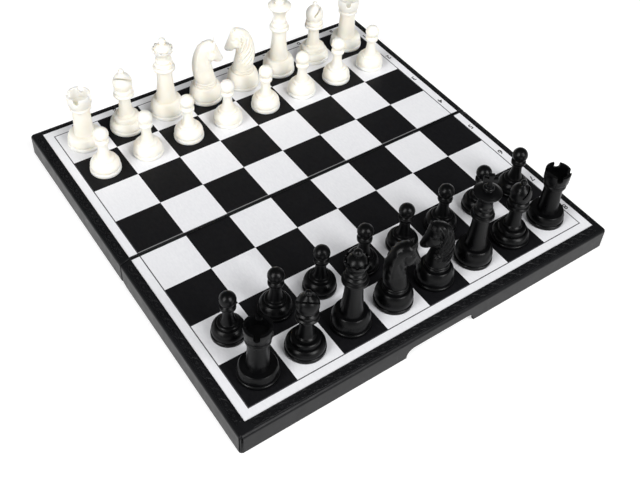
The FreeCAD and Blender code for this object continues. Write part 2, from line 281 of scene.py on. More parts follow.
def make_floor():
    """A wide pale floor under the feet, white to the eye and in reflections."""
    bm = bmesh.new()
    bmesh.ops.create_grid(bm, x_segments=2, y_segments=2, size=FLOOR_HALF_WIDTH)
    mesh = bpy.data.meshes.new("floor")
    bm.to_mesh(mesh)
    bm.free()
    floor = new_object("floor", mesh)
    material = bpy.data.materials.new("floor_white")
    material.use_nodes = True
    tree = material.node_tree
    shader = tree.nodes["Principled BSDF"]
    shader.inputs["Base Color"].default_value = FLOOR_COLOUR
    shader.inputs["Roughness"].default_value = FLOOR_ROUGHNESS
    shader.inputs["Emission Color"].default_value = WHITE
    rays = tree.nodes.new("ShaderNodeLightPath")
    seen = rays.outputs["Is Camera Ray"]
    for kind in ("Is Glossy Ray", "Is Transmission Ray"):
        either = tree.nodes.new("ShaderNodeMath")
        either.operation = "MAXIMUM"
        tree.links.new(seen, either.inputs[0])
        tree.links.new(rays.outputs[kind], either.inputs[1])
        seen = either.outputs[0]
    glow = tree.nodes.new("ShaderNodeMath")
    glow.operation = "MULTIPLY"
    glow.inputs[1].default_value = FLOOR_GLOW
    tree.links.new(seen, glow.inputs[0])
    tree.links.new(glow.outputs[0], shader.inputs["Emission Strength"])
    mesh.materials.append(material)


# Materials

class Nodes:
    """Short calls for building a material's node tree."""

    def __init__(self, name):
        self.material = bpy.data.materials.new(name)
        self.material.use_nodes = True
        self.tree = self.material.node_tree
        self.shader = self.tree.nodes["Principled BSDF"]
        self.coords = self.tree.nodes.new("ShaderNodeTexCoord").outputs["Object"]

    def link(self, value, socket):
        if isinstance(value, (int, float)):
            socket.default_value = value
        else:
            self.tree.links.new(value, socket)

    def math(self, operation, a, b=0.0, clamp=False):
        node = self.tree.nodes.new("ShaderNodeMath")
        node.operation = operation
        node.use_clamp = clamp
        self.link(a, node.inputs[0])
        self.link(b, node.inputs[1])
        return node.outputs[0]

    def noise(self, scale, detail=3.0, stretch=None):
        node = self.tree.nodes.new("ShaderNodeTexNoise")
        node.inputs["Scale"].default_value = scale
        node.inputs["Detail"].default_value = detail
        source = self.coords
        if stretch:
            mapping = self.tree.nodes.new("ShaderNodeMapping")
            mapping.inputs["Scale"].default_value = stretch
            self.tree.links.new(self.coords, mapping.inputs["Vector"])
            source = mapping.outputs[0]
        self.tree.links.new(source, node.inputs["Vector"])
        return node.outputs["Fac"]

    def spread(self, value, low, high):
        """A noise's middle stretch mapped to a range."""
        node = self.tree.nodes.new("ShaderNodeMapRange")
        node.inputs["From Min"].default_value = NOISE_LOW
        node.inputs["From Max"].default_value = NOISE_HIGH
        node.inputs["To Min"].default_value = low
        node.inputs["To Max"].default_value = high
        self.tree.links.new(value, node.inputs["Value"])
        return node.outputs[0]

    def mix(self, factor, a, b):
        node = self.tree.nodes.new("ShaderNodeMix")
        node.data_type = "RGBA"
        self.link(factor, node.inputs["Factor"])
        for value, socket in ((a, node.inputs["A"]), (b, node.inputs["B"])):
            if isinstance(value, tuple):
                socket.default_value = (*value, 1)
            else:
                self.tree.links.new(value, socket)
        return node.outputs["Result"]

    def bump(self, height, distance, strength=1.0):
        node = self.tree.nodes.new("ShaderNodeBump")
        node.inputs["Distance"].default_value = distance
        node.inputs["Strength"].default_value = strength
        self.tree.links.new(height, node.inputs["Height"])
        self.tree.links.new(node.outputs[0], self.shader.inputs["Normal"])

    def set(self, **sockets):
        for name, value in sockets.items():
            self.shader.inputs[name.replace("_", " ")].default_value = value

    def drive(self, socket, value):
        self.tree.links.new(value, self.shader.inputs[socket])

    def mottle(self, noise, first, second):
        """A base colour that wanders between two."""
        self.drive("Base Color", self.mix(self.spread(noise, 0, 1), first, second))

    def roughen(self, noise, low, high):
        """A roughness that wanders between two values."""
        self.drive("Roughness", self.spread(noise, low, high))


def ivory_plastic():
    """Slightly see-through ivory white moulding, with a faint cloudiness."""
    n = Nodes("ivory_plastic")
    n.mottle(n.noise(90.0), (0.86, 0.825, 0.74), (0.895, 0.865, 0.79))
    n.roughen(n.noise(260.0), 0.3, 0.42)
    n.set(Specular_IOR_Level=0.2)
    n.set(Subsurface_Weight=0.8, Subsurface_Scale=0.008, Subsurface_Radius=(1.0, 0.9, 0.75))
    n.bump(n.noise(600.0, 2.0), 0.02 * MM, 0.25)
    return n.material


def black_plastic():
    """Satin black moulding of the dark men."""
    n = Nodes("black_plastic")
    n.mottle(n.noise(120.0), (0.001, 0.00105, 0.0012), (0.002, 0.0021, 0.0024))
    n.roughen(n.noise(240.0), 0.27, 0.34)
    n.set(Specular_IOR_Level=0.16)
    n.bump(n.noise(700.0, 2.0), 0.01 * MM, 0.2)
    return n.material


def case_plastic():
    """Fine-grained black moulding of the trays."""
    n = Nodes("case_plastic")
    n.mottle(n.noise(45.0), (0.0045, 0.0047, 0.0053), (0.008, 0.0082, 0.0092))
    n.roughen(n.noise(160.0), 0.27, 0.36)
    n.set(Specular_IOR_Level=0.1)
    n.bump(n.noise(2600.0, 2.0), 0.015 * MM, 0.25)
    return n.material


def printed_sheet(name, parity, fold_band):
    """Squares, the thin line round them and a white border, on satin film; at the fold a grey band stands for
    the sheet's pale cut edge, partly its own colour and partly painted highlight.
    """
    cloudiness, line_grey, edge_and_highlight_grey = 0.35, (0.05, 0.05, 0.055), (0.24, 0.24, 0.245)
    n = Nodes(name)
    split = n.tree.nodes.new("ShaderNodeSeparateXYZ")
    n.tree.links.new(n.coords, split.inputs[0])
    x, y = split.outputs["X"], split.outputs["Y"]
    across = n.math("ABSOLUTE", x)
    along = n.math("SUBTRACT", n.math("ABSOLUTE", y), SHEET_START)
    column = n.math("FLOOR", n.math("DIVIDE", n.math("ADD", x, HALF_GRID), SQUARE))
    row = n.math("FLOOR", n.math("DIVIDE", along, SQUARE))
    odd = n.math("MODULO", n.math("ADD", n.math("ADD", column, row), 2 * ROWS_PER_HALF + parity), 2)
    inside = n.math("MULTIPLY", n.math("LESS_THAN", across, HALF_GRID), n.math("LESS_THAN", along, HALF_GRID))
    dark = n.math("MULTIPLY", inside, n.math("LESS_THAN", odd, 0.5))
    outside = HALF_GRID + GRID_LINE
    outlined = n.math("MULTIPLY", n.math("LESS_THAN", across, outside), n.math("LESS_THAN", along, outside))
    line = n.math("SUBTRACT", outlined, inside)
    fibre = n.spread(n.noise(900.0, 4.0, (1.0, 0.35, 1.0)), 0, 1)
    cloud = n.spread(n.noise(14.0), 0, 1)
    white = n.mix(fibre, (0.76, 0.763, 0.79), (0.82, 0.823, 0.845))
    white = n.mix(n.math("MULTIPLY", cloud, cloudiness), white, (0.8, 0.8, 0.815))
    black = n.mix(fibre, (0.0035, 0.0035, 0.0045), (0.007, 0.007, 0.008))
    ink = n.mix(dark, white, black)
    ink = n.mix(line, ink, line_grey)
    # A grey band on the dark squares at the fold: the sheet's pale cut edge, partly its own colour and partly
    # a painted highlight where it catches light
    edge_and_highlight_band = n.math("MULTIPLY", n.math("LESS_THAN", along, fold_band), dark)
    n.drive("Base Color", n.mix(edge_and_highlight_band, ink, edge_and_highlight_grey))
    n.roughen(n.noise(300.0), 0.46, 0.58)
    n.set(Specular_IOR_Level=0.15)
    n.bump(n.noise(1500.0, 3.0), 0.03 * MM, 0.4)
    return n.material


def plain_steel(name, colour, roughness):
    """Rolled or drawn steel with fine streaks along X."""
    n = Nodes(name)
    streak = n.noise(900.0, 3.0, (0.05, 1.0, 1.0))
    n.mottle(streak, colour, tuple(0.82 * c for c in colour))
    n.roughen(streak, roughness - 0.06, roughness + 0.08)
    n.set(Metallic=1.0)
    return n.material


def ferrite():
    """Dull dark sintered magnet."""
    n = Nodes("ferrite")
    grit = n.noise(1800.0, 4.0)
    n.mottle(grit, (0.035, 0.034, 0.034), (0.075, 0.073, 0.072))
    n.roughen(grit, 0.6, 0.75)
    n.set(Metallic=0.3)
    n.bump(grit, 0.05 * MM, 0.4)
    return n.material


def print_ink():
    """Black ink of the rank numbers and file letters."""
    n = Nodes("print_ink")
    n.mottle(n.noise(1200.0), (0.006, 0.006, 0.007), (0.015, 0.015, 0.017))
    n.set(Roughness=0.55)
    return n.material


# Board

def repaint(node, material):
    """Gives a carried-over node one material."""
    mesh = nodes[node].data
    mesh.materials.clear()
    mesh.materials.append(material)


def hard_edges(bm, degrees):
    """The edges whose two faces turn by more than an angle."""
    limit = math.radians(degrees)
    return [e for e in bm.edges if len(e.link_faces) == 2 and e.calc_face_angle(0.0) > limit]


def round_edges(bm, edges, size, steps):
    """Rounds some edges, by less where there is no room."""
    bmesh.ops.bevel(
        bm, geom=edges, offset=size, segments=steps, profile=0.5, affect="EDGES", clamp_overlap=True
    )


def skin(bm, rings):
    """Joins a stack of rings of equal size, and caps both ends."""
    for low, high in zip(rings, rings[1:]):
        for i in range(len(low)):
            j = (i + 1) % len(low)
            bm.faces.new((low[i], low[j], high[j], high[i]))
    bm.faces.new(rings[0])
    bm.faces.new(rings[-1])


def inwards(place, facing):
    """How far a point lies inside a case half's outline in plan, and the way in."""
    across = math.copysign(1, place.x)
    beside = CASE_HALF_WIDTH - abs(place.x)
    behind = CASE_END - facing * place.y
    if beside < CASE_CORNER and behind < CASE_CORNER:
        way = Vector((-across * (CASE_CORNER - beside), -facing * (CASE_CORNER - behind), 0))
        return CASE_CORNER - way.length, way.normalized()
    if beside < behind:
        return beside, Vector((-across, 0, 0))
    return behind, Vector((0, -facing, 0))


def cut_loops(bm, faces, place, normal):
    """Cuts some faces along a plane, and returns the faces there afterwards."""
    geometry = set(faces)
    for face in faces:
        geometry.update(face.verts)
        geometry.update(face.edges)
    cut = bmesh.ops.bisect_plane(bm, geom=list(geometry), dist=FINE_PLACE, plane_co=place, plane_no=normal)
    return [g for g in cut["geom"] if isinstance(g, bmesh.types.BMFace)]


def round_outer_edge(bm, facing):
    """Rounds the edge between the frame's slope and the case's sides, on loops cut beside it."""
    lean = math.atan2(BEVEL_DROP, BEVEL_WIDTH)
    turn = math.pi / 2 - lean
    reach = OUTER_ROUND * math.tan(turn / 2)
    edge_z = LIP_TOP - BEVEL_DROP
    slopes = [f for f in bm.faces if abs(f.normal.z - math.cos(lean)) < SAME_DIRECTION]
    walls = []
    for face in bm.faces:
        upright = abs(face.normal.z) < SAME_DIRECTION
        if upright and all(inwards(v.co, facing)[0] < SAME_PLACE for v in face.verts):
            walls.append(face)
    for step in range(1, OUTER_STEPS + 1):
        away = reach * step / OUTER_STEPS
        walls = cut_loops(bm, walls, (0, 0, edge_z - away), (0, 0, 1))
        beside = CASE_HALF_WIDTH - away * math.cos(lean)
        for side in (-1, 1):
            slopes = cut_loops(bm, slopes, (side * beside, 0, 0), (1, 0, 0))
        behind = facing * (CASE_END - away * math.cos(lean))
        slopes = cut_loops(bm, slopes, (0, behind, 0), (0, 1, 0))
    for vert in {v for face in slopes + walls for v in face.verts}:
        depth, way = inwards(vert.co, facing)
        along = depth / math.cos(lean) if depth > SAME_PLACE else min(0.0, vert.co.z - edge_z)
        if abs(along) < reach * LOOP_SLACK:
            angle = turn * (along + reach) / (2 * reach)
            vert.co += way * (OUTER_ROUND * (1 - math.cos(angle)) - depth)
            vert.co.z = edge_z - reach + OUTER_ROUND * math.sin(angle)


def round_fold_ends(bm):
    """Rounds the two ends of the frame at the fold, where the halves meet."""
    start = min(abs(v.co.y) for v in bm.verts if v.co.z > LIP_TOP / 2)
    ends = []
    for edge in bm.edges:
        at_fold = all(abs(abs(v.co.y) - start) < SAME_PLACE for v in edge.verts)
        if at_fold and all(abs(v.co.x) > SHEET_HALF_WIDTH - SAME_PLACE for v in edge.verts):
            ends.append(edge)
    round_edges(bm, ends, FOLD_ROUND, FOLD_STEPS)


def softened_case(side, facing, body, material):
    """A case half with its moulded edges rounded, from the half's own outline."""
    node = f"{side}_case_half"
    bm = bmesh.new()
    bm.from_mesh(nodes[node].data)
    bmesh.ops.remove_doubles(bm, verts=bm.verts, dist=SAME_PLACE)
    bmesh.ops.dissolve_limit(bm, angle_limit=math.radians(FLAT_DEGREES), verts=bm.verts, edges=bm.edges)
    bmesh.ops.recalc_face_normals(bm, faces=bm.faces)
    round_outer_edge(bm, facing)
    round_fold_ends(bm)
    edges = [e for e in hard_edges(bm, CASE_HARD_DEGREES) if e.calc_length() > SHORT_EDGE]
    round_edges(bm, edges, CASE_EDGE, CASE_EDGE_STEPS)
    bmesh.ops.dissolve_degenerate(bm, dist=SAME_PLACE, edges=bm.edges)
    mesh = finish_mesh(f"{side}_tray", bm)
    mesh.materials.append(material)
    tray = new_object(f"{side}_tray", mesh)
    tray.modifiers.new("flat_faces", "WEIGHTED_NORMAL").keep_sharp = True
    place_piece(tray, body, "case_plastic", node)


def rank_and_file_marks(side, body, marks, material):
    """Numbers and letters as thin ink on a printed sheet, as (text, x, y), upright for the far side."""
    bm = bmesh.new()
    half_turn = Matrix.Rotation(math.pi, 4, "Z")
    for text, x, y in marks:
        curve = bpy.data.curves.new("mark", "FONT")
        curve.body = text
        curve.align_x = "CENTER"
        curve.align_y = "CENTER"
        curve.size = GLYPH_SIZE
        curve.offset = GLYPH_WEIGHT
        curve.extrude = GLYPH_LIFT / 2
        curve.resolution_u = GLYPH_STEPS
        glyph = new_object("mark", curve)
        graph = bpy.context.evaluated_depsgraph_get()
        mesh = bpy.data.meshes.new_from_object(glyph.evaluated_get(graph), depsgraph=graph)
        mesh.transform(Matrix.Translation((x, y, SHEET_TOP + GLYPH_LIFT / 2)) @ half_turn)
        bm.from_mesh(mesh)
        bpy.data.meshes.remove(mesh)
        bpy.data.objects.remove(glyph)
        bpy.data.curves.remove(curve)
    bmesh.ops.remove_doubles(bm, verts=bm.verts, dist=FINE_PLACE)
    mesh = finish_mesh(f"{side}_marks", bm)
    mesh.materials.append(material)
    place_piece(new_object(f"{side}_marks", mesh), body, "printed_sheet")


class Relief:
    """Raised ornament on one sloping side of the frame, in millimetres along it, down the slope and out."""

    def __init__(self, bm, origin, along, outward):
        self.bm = bm
        slope = (Vector(outward) * BEVEL_WIDTH - Vector((0, 0, BEVEL_DROP))).normalized()
        out = Vector(along).cross(slope).normalized()
        self.axes = (Vector(along), slope, out if out.z > 0 else -out)
        self.origin = Vector(origin)

    def vert(self, along, down, rise, height):
        """A point at a share of a height, or at the root under the surface."""
        out = rise * height if rise else -RELIEF_ROOT
        place = self.origin.copy()
        for amount, axis in zip((along, down, out), self.axes):
            place += amount * MM * axis
        return self.bm.verts.new(place)

    def ribbon(self, line, width, height):
        """A rounded band along points."""
        rings = []
        last = len(line) - 1
        for i, (along, down) in enumerate(line):
            (a0, d0), (a1, d1) = line[max(i - 1, 0)], line[min(i + 1, last)]
            length = math.hypot(a1 - a0, d1 - d0)
            side_a, side_d = -(d1 - d0) / length, (a1 - a0) / length
            ring = []
            for share, rise in RIDGE:
                across = share * width / 2
                ring.append(self.vert(along + across * side_a, down + across * side_d, rise, height))
            rings.append(ring)
        skin(self.bm, rings)

    def bud(self, along, down, radius, petals, height):
        """A lobed dome, flat under."""
        rings = []
        for share, rise in DOME:
            ring = []
            for i in range(PETAL_STEPS * petals):
                angle = math.tau * i / (PETAL_STEPS * petals)
                lobe = 1 - LOBE_DEPTH * share * (1 - abs(math.cos(petals * angle / 2)))
                reach = radius * share * lobe
                a, d = reach * math.cos(angle), reach * math.sin(angle)
                ring.append(self.vert(along + a, down + d, rise, height))
            rings.append(ring)
        skin(self.bm, rings)

    def leaf(self, along, down, turn, length, width, height):
        """A pointed leaf with a raised middle, starting at a point and turned by an angle."""
        rings = []
        for i in range(LEAF_STEPS + 1):
            t = LEAF_TIP + (1 - 2 * LEAF_TIP) * i / LEAF_STEPS
            half = width / 2 * math.sin(math.pi * t ** LEAF_FULLNESS)
            ring = []
            for share, rise in RIDGE:
                across = share * half
                a = t * length * math.cos(turn) - across * math.sin(turn)
                d = t * length * math.sin(turn) + across * math.cos(turn)
                ring.append(self.vert(along + a, down + d, rise, height))
            rings.append(ring)
        skin(self.bm, rings)

    def vine(self, length):
        """Edge beads, two twining stems, and buds and leaves along one side."""
        slope_width = math.hypot(BEVEL_WIDTH, BEVEL_DROP) / MM
        middle = VINE_LINE * slope_width
        for share in BEAD_LINES:
            down = share * slope_width
            self.ribbon([(0, down), (length, down)], *BEAD_SIZE)
        waves = max(1, round(length / VINE_PERIOD))
        period = length / waves
        for sway, height in ((VINE_SWING, UPPER_STEM_HEIGHT), (-VINE_SWING, LOWER_STEM_HEIGHT)):
            stem = []
            for i in range(waves * STEM_STEPS + 1):
                a = length * i / (waves * STEM_STEPS)
                stem.append((a, middle + sway * math.sin(math.tau * a / period)))
            self.ribbon(stem, STEM_WIDTH, height)
        for i in range(2 * waves):
            start = (i + 0.5) * period / 2
            self.bud(start, middle, *BUD_SIZE)
            for side in (-1, 1):
                for lean in (LEAF_LEAN, math.pi - LEAF_LEAN):
                    self.leaf(start + period / 4, middle + LEAF_OFFSET * side, side * lean, *LEAF_SIZE)


def frame_ornament(side, body, facing, material):
    """The moulded vine on the three sloping sides of a case half."""
    bm = bmesh.new()
    start, end = SHEET_START + ORNAMENT_INSET, SHEET_END - ORNAMENT_INSET
    for edge in (-1, 1):
        relief = Relief(bm, (edge * SHEET_HALF_WIDTH, facing * start, LIP_TOP), (0, facing, 0), (edge, 0, 0))
        relief.vine((end - start) / MM)
    reach = SHEET_HALF_WIDTH - ORNAMENT_INSET
    relief = Relief(bm, (-reach, facing * SHEET_END, LIP_TOP), (1, 0, 0), (0, facing, 0))
    relief.vine(2 * reach / MM)
    mesh = finish_mesh(f"{side}_frame_ornament", bm, ORNAMENT_SHARP_DEGREES)
    mesh.materials.append(material)
    place_piece(new_object(f"{side}_frame_ornament", mesh), body, "case_plastic")


# Men: profiles are (radius, height) in millimetres; a four-number entry is an arc through its first
# pair to its second

def size_of(node):
    """A node's size in millimetres."""
    low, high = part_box(node)
    return (high - low) / MM


OFFICER_RADIUS = size_of("black_queen").x / 2
PAWN_RADIUS = size_of("black_pawn_1").x / 2
MAGNET_RADIUS = size_of("black_queen_magnet").x / 2
MAGNET_THICKNESS = size_of("black_queen_magnet").z
PAWN_MAGNET_RADIUS = 6.0
MAGNET_CLEARANCE = 0.1
MAGNET_RECESS = 0.2
MAGNET_EDGE = 0.2
TALL_LEDGE = 14.8
TALL_INSET = 3.2
EDGE_BEAD = 0.25
BEAD_STEPS = 2


def arc_points(start, middle, end):
    """Points on the circle through three points, after the first."""
    (ax, ay), (bx, by), (cx, cy) = start, middle, end
    d = 2 * (ax * (by - cy) + bx * (cy - ay) + cx * (ay - by))
    sa, sb, sc = ax * ax + ay * ay, bx * bx + by * by, cx * cx + cy * cy
    ox = (sa * (by - cy) + sb * (cy - ay) + sc * (ay - by)) / d
    oy = (sa * (cx - bx) + sb * (ax - cx) + sc * (bx - ax)) / d
    radius = math.hypot(ax - ox, ay - oy)
    first = math.atan2(ay - oy, ax - ox)
    via = (math.atan2(by - oy, bx - ox) - first) % math.tau
    last = (math.atan2(cy - oy, cx - ox) - first) % math.tau
    if via > last:
        last -= math.tau
    angles = [first + last * i / ARC_STEPS for i in range(1, ARC_STEPS + 1)]
    return [(ox + radius * math.cos(a), oy + radius * math.sin(a)) for a in angles]


def profile_line(entries):
    """A profile's entries as a plain list of points."""
    points = [entries[0]]
    for entry in entries[1:]:
        if len(entry) == 4:
            points += arc_points(points[-1], entry[:2], entry[2:])
        else:
            points.append(entry)
    return points


def rising(entries, bottom, top):
    """Entries given as radius and share of the rise, as radius and height."""
    def at(share):
        return bottom + share * (top - bottom)
    return [(e[0], at(e[1])) if len(e) == 2 else (e[0], at(e[1]), e[2], at(e[3])) for e in entries]


def lathe(entries):
    """A turned solid with its hard edges rounded, in millimetres, as a bmesh."""
    bm = bmesh.new()
    rings = []
    for radius, height in profile_line(entries):
        if radius < SAME_PLACE:
            rings.append([bm.verts.new((0, 0, height))])
            continue
        ring = []
        for i in range(TURN_STEPS):
            a = math.tau * i / TURN_STEPS
            ring.append(bm.verts.new((radius * math.cos(a), radius * math.sin(a), height)))
        rings.append(ring)
    for low, high in zip(rings, rings[1:]):
        for i in range(TURN_STEPS):
            j = (i + 1) % TURN_STEPS
            corners = [low[i % len(low)], low[j % len(low)], high[j % len(high)], high[i % len(high)]]
            unique = list(dict.fromkeys(corners))
            if len(unique) > 2:
                bm.faces.new(unique)
    bmesh.ops.recalc_face_normals(bm, faces=bm.faces)
    round_edges(bm, hard_edges(bm, MAN_HARD_DEGREES), EDGE_BEAD, BEAD_STEPS)
    bmesh.ops.remove_doubles(bm, verts=bm.verts, dist=WELD)
    return bm


def base_profile(radius, magnet_radius, ledge_inset, ledge):
    """From the magnet's pocket, over the bottom ring and its groove, up the bell to the ledge."""
    edge, ring, groove_depth, groove, swell, rise = 0.6, 3.4, 1.1, 0.7, 0.8, 0.6
    pocket = magnet_radius + MAGNET_CLEARANCE
    depth = MAGNET_RECESS + MAGNET_THICKNESS
    foot, bell, top = ring + groove, radius - edge, radius - ledge_inset
    return [
        (0, depth),
        (pocket, depth),
        (pocket, 0),
        (radius - edge, 0),
        (radius, edge),
        (radius, ring - edge),
        (radius - edge, ring),
        (radius - groove_depth, ring),
        (radius - groove_depth, foot),
        (bell, foot),
        (top + swell * (bell - top), foot + rise * (ledge - foot), top, ledge),
    ]


def officer_base(ledge_inset, ledge):
    """The base that the taller men share."""
    return base_profile(OFFICER_RADIUS, MAGNET_RADIUS, ledge_inset, ledge)


def ball_seat(neck, radius, top):
    """The height at which a ball meets its neck."""
    return top - radius - math.sqrt(radius * radius - neck * neck)


def ball(neck, radius, top):
    """The end of a profile that is a ball on a neck."""
    return [(neck, ball_seat(neck, radius, top)), (radius, top - radius, 0, top)]


def combine(bm, tools, operation):
    """Cuts or joins closed bmeshes with a solid."""
    base = new_object("solid", finish_mesh("solid", bm))
    helpers = []
    for tool in tools:
        helper = new_object("tool", finish_mesh("tool", tool))
        modifier = base.modifiers.new("combine", "BOOLEAN")
        modifier.operation = operation
        modifier.solver = "EXACT"
        modifier.object = helper
        helpers.append(helper)
    graph = bpy.context.evaluated_depsgraph_get()
    mesh = bpy.data.meshes.new_from_object(base.evaluated_get(graph), depsgraph=graph)
    result = bmesh.new()
    result.from_mesh(mesh)
    bmesh.ops.remove_doubles(result, verts=result.verts, dist=WELD)
    bpy.data.meshes.remove(mesh)
    for obj in [base, *helpers]:
        data = obj.data
        bpy.data.objects.remove(obj)
        bpy.data.meshes.remove(data)
    return result


def prism(outline, start, end, turn=None):
    """An (x, z) outline carried along Y, then turned by a matrix, as a bmesh."""
    bm = bmesh.new()
    front = bm.faces.new([bm.verts.new((x, start, z)) for x, z in outline])
    extruded = bmesh.ops.extrude_face_region(bm, geom=[front])
    moved = [g for g in extruded["geom"] if isinstance(g, bmesh.types.BMVert)]
    bmesh.ops.translate(bm, verts=moved, vec=(0, end - start, 0))
    bmesh.ops.recalc_face_normals(bm, faces=bm.faces)
    if turn is not None:
        bm.transform(turn)
    return bm


def radial_slots(count, half, bottom, top, start, end):
    """Round-bottomed slots that run outwards from the axis."""
    outline = [(half, top), (-half, top), (-half, bottom + half)]
    outline += arc_points(outline[-1], (0, bottom), (half, bottom + half))
    slots = []
    for i in range(count):
        turn = Matrix.Rotation(math.tau * i / count, 4, "Z")
        slots.append(prism(outline, start, end, turn))
    return slots


def pawn_form():
    """Ball head on a collar, a slim stem and a stepped bell."""
    inset, ledge, neck, radius = 3.3, 11.5, 3.6, 5.8
    top = size_of("black_pawn_1").z
    stem = [
        (7.7, 0.0),
        (7.6, 0.07),
        (7.0, 0.1),
        (5.4, 0.115),
        (4.2, 0.35, 3.8, 0.75),
        (5.4, 0.82),
        (5.5, 0.94),
        (4.3, 0.965),
    ]
    points = base_profile(PAWN_RADIUS, PAWN_MAGNET_RADIUS, inset, ledge)
    points += rising(stem, ledge, ball_seat(neck, radius, top))
    return lathe(points + ball(neck, radius, top))


def rook_form():
    """A straight tower on a drum, with a slotted crown."""
    inset, ledge, bore, floor = 2.0, 10.6, 7.3, 40.0
    slots, slot_half, slot_depth, slot_start, above = 4, 2.1, 4.6, 0.5, 1
    top = size_of("black_left_rook").z
    tower = [
        (7.9, 0.0),
        (7.2, 0.27, 6.9, 0.625),
        (8.4, 0.645),
        (8.4, 0.69),
        (7.9, 0.705),
        (8.5, 0.75, 9.2, 0.79),
        (9.4, 1.0),
    ]
    points = officer_base(inset, ledge) + rising(tower, ledge, top)
    bm = lathe(points + [(bore, top), (bore, floor), (0, floor)])
    cuts = radial_slots(slots, slot_half, top - slot_depth, top + above, slot_start, OFFICER_RADIUS)
    return combine(bm, cuts, "DIFFERENCE")


def bishop_form():
    """A stepped foot, a slim stem, a double collar and an egg-shaped head with a slanting cut."""
    inset, ledge, neck, radius = 2.9, 9.4, 1.7, 2.3
    cut_share, cut_width, cut_start, cut_degrees = 0.8, 1.3, 0.8, -50
    top = size_of("black_left_bishop").z
    seat = ball_seat(neck, radius, top)
    stem = [
        (10.0, 0.0),
        (10.1, 0.02),
        (9.9, 0.075),
        (8.9, 0.09),
        (7.0, 0.09),
        (6.9, 0.125),
        (5.8, 0.145),
        (4.9, 0.29, 4.5, 0.485),
        (8.1, 0.53),
        (8.1, 0.565),
        (6.9, 0.58),
        (7.4, 0.615),
        (7.4, 0.65),
        (5.9, 0.67),
        (7.7, 0.79, 2.2, 0.988),
    ]
    bm = lathe(officer_base(inset, ledge) + rising(stem, ledge, seat) + ball(neck, radius, top))
    height = ledge + cut_share * (seat - ledge)
    tilt = Matrix.Translation((0, 0, height)) @ Matrix.Rotation(math.radians(cut_degrees), 4, "Y")
    reach = OFFICER_RADIUS
    outline = [(cut_start, 0), (reach, 0), (reach, cut_width), (cut_start, cut_width)]
    return combine(bm, [prism(outline, -reach, reach, tilt)], "DIFFERENCE")


def queen_form():
    """A tapered body, collars and a notched coronet round a dome with a ball."""
    neck, radius, rim, rim_share = 1.8, 3.1, 8.4, 0.94
    notches, notch, notch_reach = 10, 1.3, 1.4
    ledge = TALL_LEDGE
    top = size_of("black_queen").z
    seat = ball_seat(neck, radius, top)
    stem = [
        (8.4, 0.0),
        (6.7, 0.251, 6.1, 0.528),
        (8.9, 0.563),
        (8.9, 0.597),
        (6.9, 0.611),
        (7.4, 0.628),
        (7.4, 0.662),
        (5.9, 0.677),
        (6.7, 0.708),
        (6.7, 0.735),
        (5.6, 0.75),
        (6.1, 0.821, 8.2, 0.88),
        (rim, rim_share),
        (7.5, rim_share),
        (7.2, 0.902),
        (5.2, 0.968, 2.6, 0.995),
    ]
    bm = lathe(officer_base(TALL_INSET, ledge) + rising(stem, ledge, seat) + ball(neck, radius, top))
    coronet = ledge + rim_share * (seat - ledge)
    start = rim - notch_reach
    cuts = radial_slots(notches, notch, coronet - notch, coronet + notch, start, OFFICER_RADIUS)
    return combine(bm, cuts, "DIFFERENCE")


def king_form():
    """A tapered body, collars, a flared crown with a knob and a flat cross."""
    cross_height, cross_root, cross_share = 10.0, 1, 0.55
    ledge = TALL_LEDGE
    height = size_of("black_king").z
    top = height - cross_height
    stem = [
        (8.2, 0.0),
        (6.6, 0.231, 6.1, 0.476),
        (8.4, 0.509),
        (8.4, 0.54),
        (6.6, 0.552),
        (7.0, 0.568),
        (7.0, 0.6),
        (5.4, 0.615),
        (5.9, 0.645),
        (5.9, 0.673),
        (5.2, 0.687),
        (6.2, 0.79, 9.8, 0.881),
        (10.0, 0.902),
        (9.0, 0.909),
        (6.6, 0.93, 4.0, 0.937),
        (3.4, 0.941),
        (4.0, 0.962, 2.4, 0.986),
        (2.2, 1.0),
        (0, 1.0),
    ]
    bm = lathe(officer_base(TALL_INSET, ledge) + rising(stem, ledge, top))
    return combine(bm, [cross(top - cross_root, height, top + cross_share * cross_height)], "UNION")


def cross(low, top, centre):
    """A flat cross with flared arms, its edges rounded."""
    half, waist, flare, thick, edge, steps = 4.8, 1.34, 2.3, 1.7, 0.45, 3
    right = [
        (flare, low),
        (waist, centre - waist),
        (half, centre - flare),
        (half, centre + flare),
        (waist, centre + waist),
        (flare, top),
    ]
    bm = prism(right + [(-x, z) for x, z in reversed(right)], -thick, thick)
    bmesh.ops.bevel(bm, geom=bm.edges[:], offset=edge, segments=steps, profile=0.5, affect="EDGES")
    return bm


# Knight: a turned foot and a head drawn from the side, with a thickness worked out at each point

KNIGHT_FOOT = 18.6
KNIGHT_OUTLINE = [
    (-8.2, KNIGHT_FOOT),
    (-10.3, 36.0, -6.2, 50.4),
    (-0.6, 55.5, 4.6, 57.0),
    (8.6, 55.7),
    (10.0, 53.7),
    (12.6, 46.2, 14.8, 40.6),
    (15.2, 38.4, 13.6, 36.4),
    (10.4, 35.9, 6.8, 38.2),
    (5.4, 35.4),
    (6.8, 27.5, 8.4, KNIGHT_FOOT),
]
CREST_ENTRIES = 3
GRID_STEP = 0.55
GRID_START = -12
GRID_WIDTH = 30
GRID_CLEARANCE = 1.3
RIM_DEPTHS = (0.1, 0.4, 0.9)
NECK_START = 31.0
FACE_ACROSS = (3.0, 7.0)
FACE_UP = (34.0, 38.0)
MUZZLE_ACROSS = (4.0, 15.0)
HEAD_HALF = 5.6
HEAD_ROUNDING = 6.4
THINNEST = 0.05

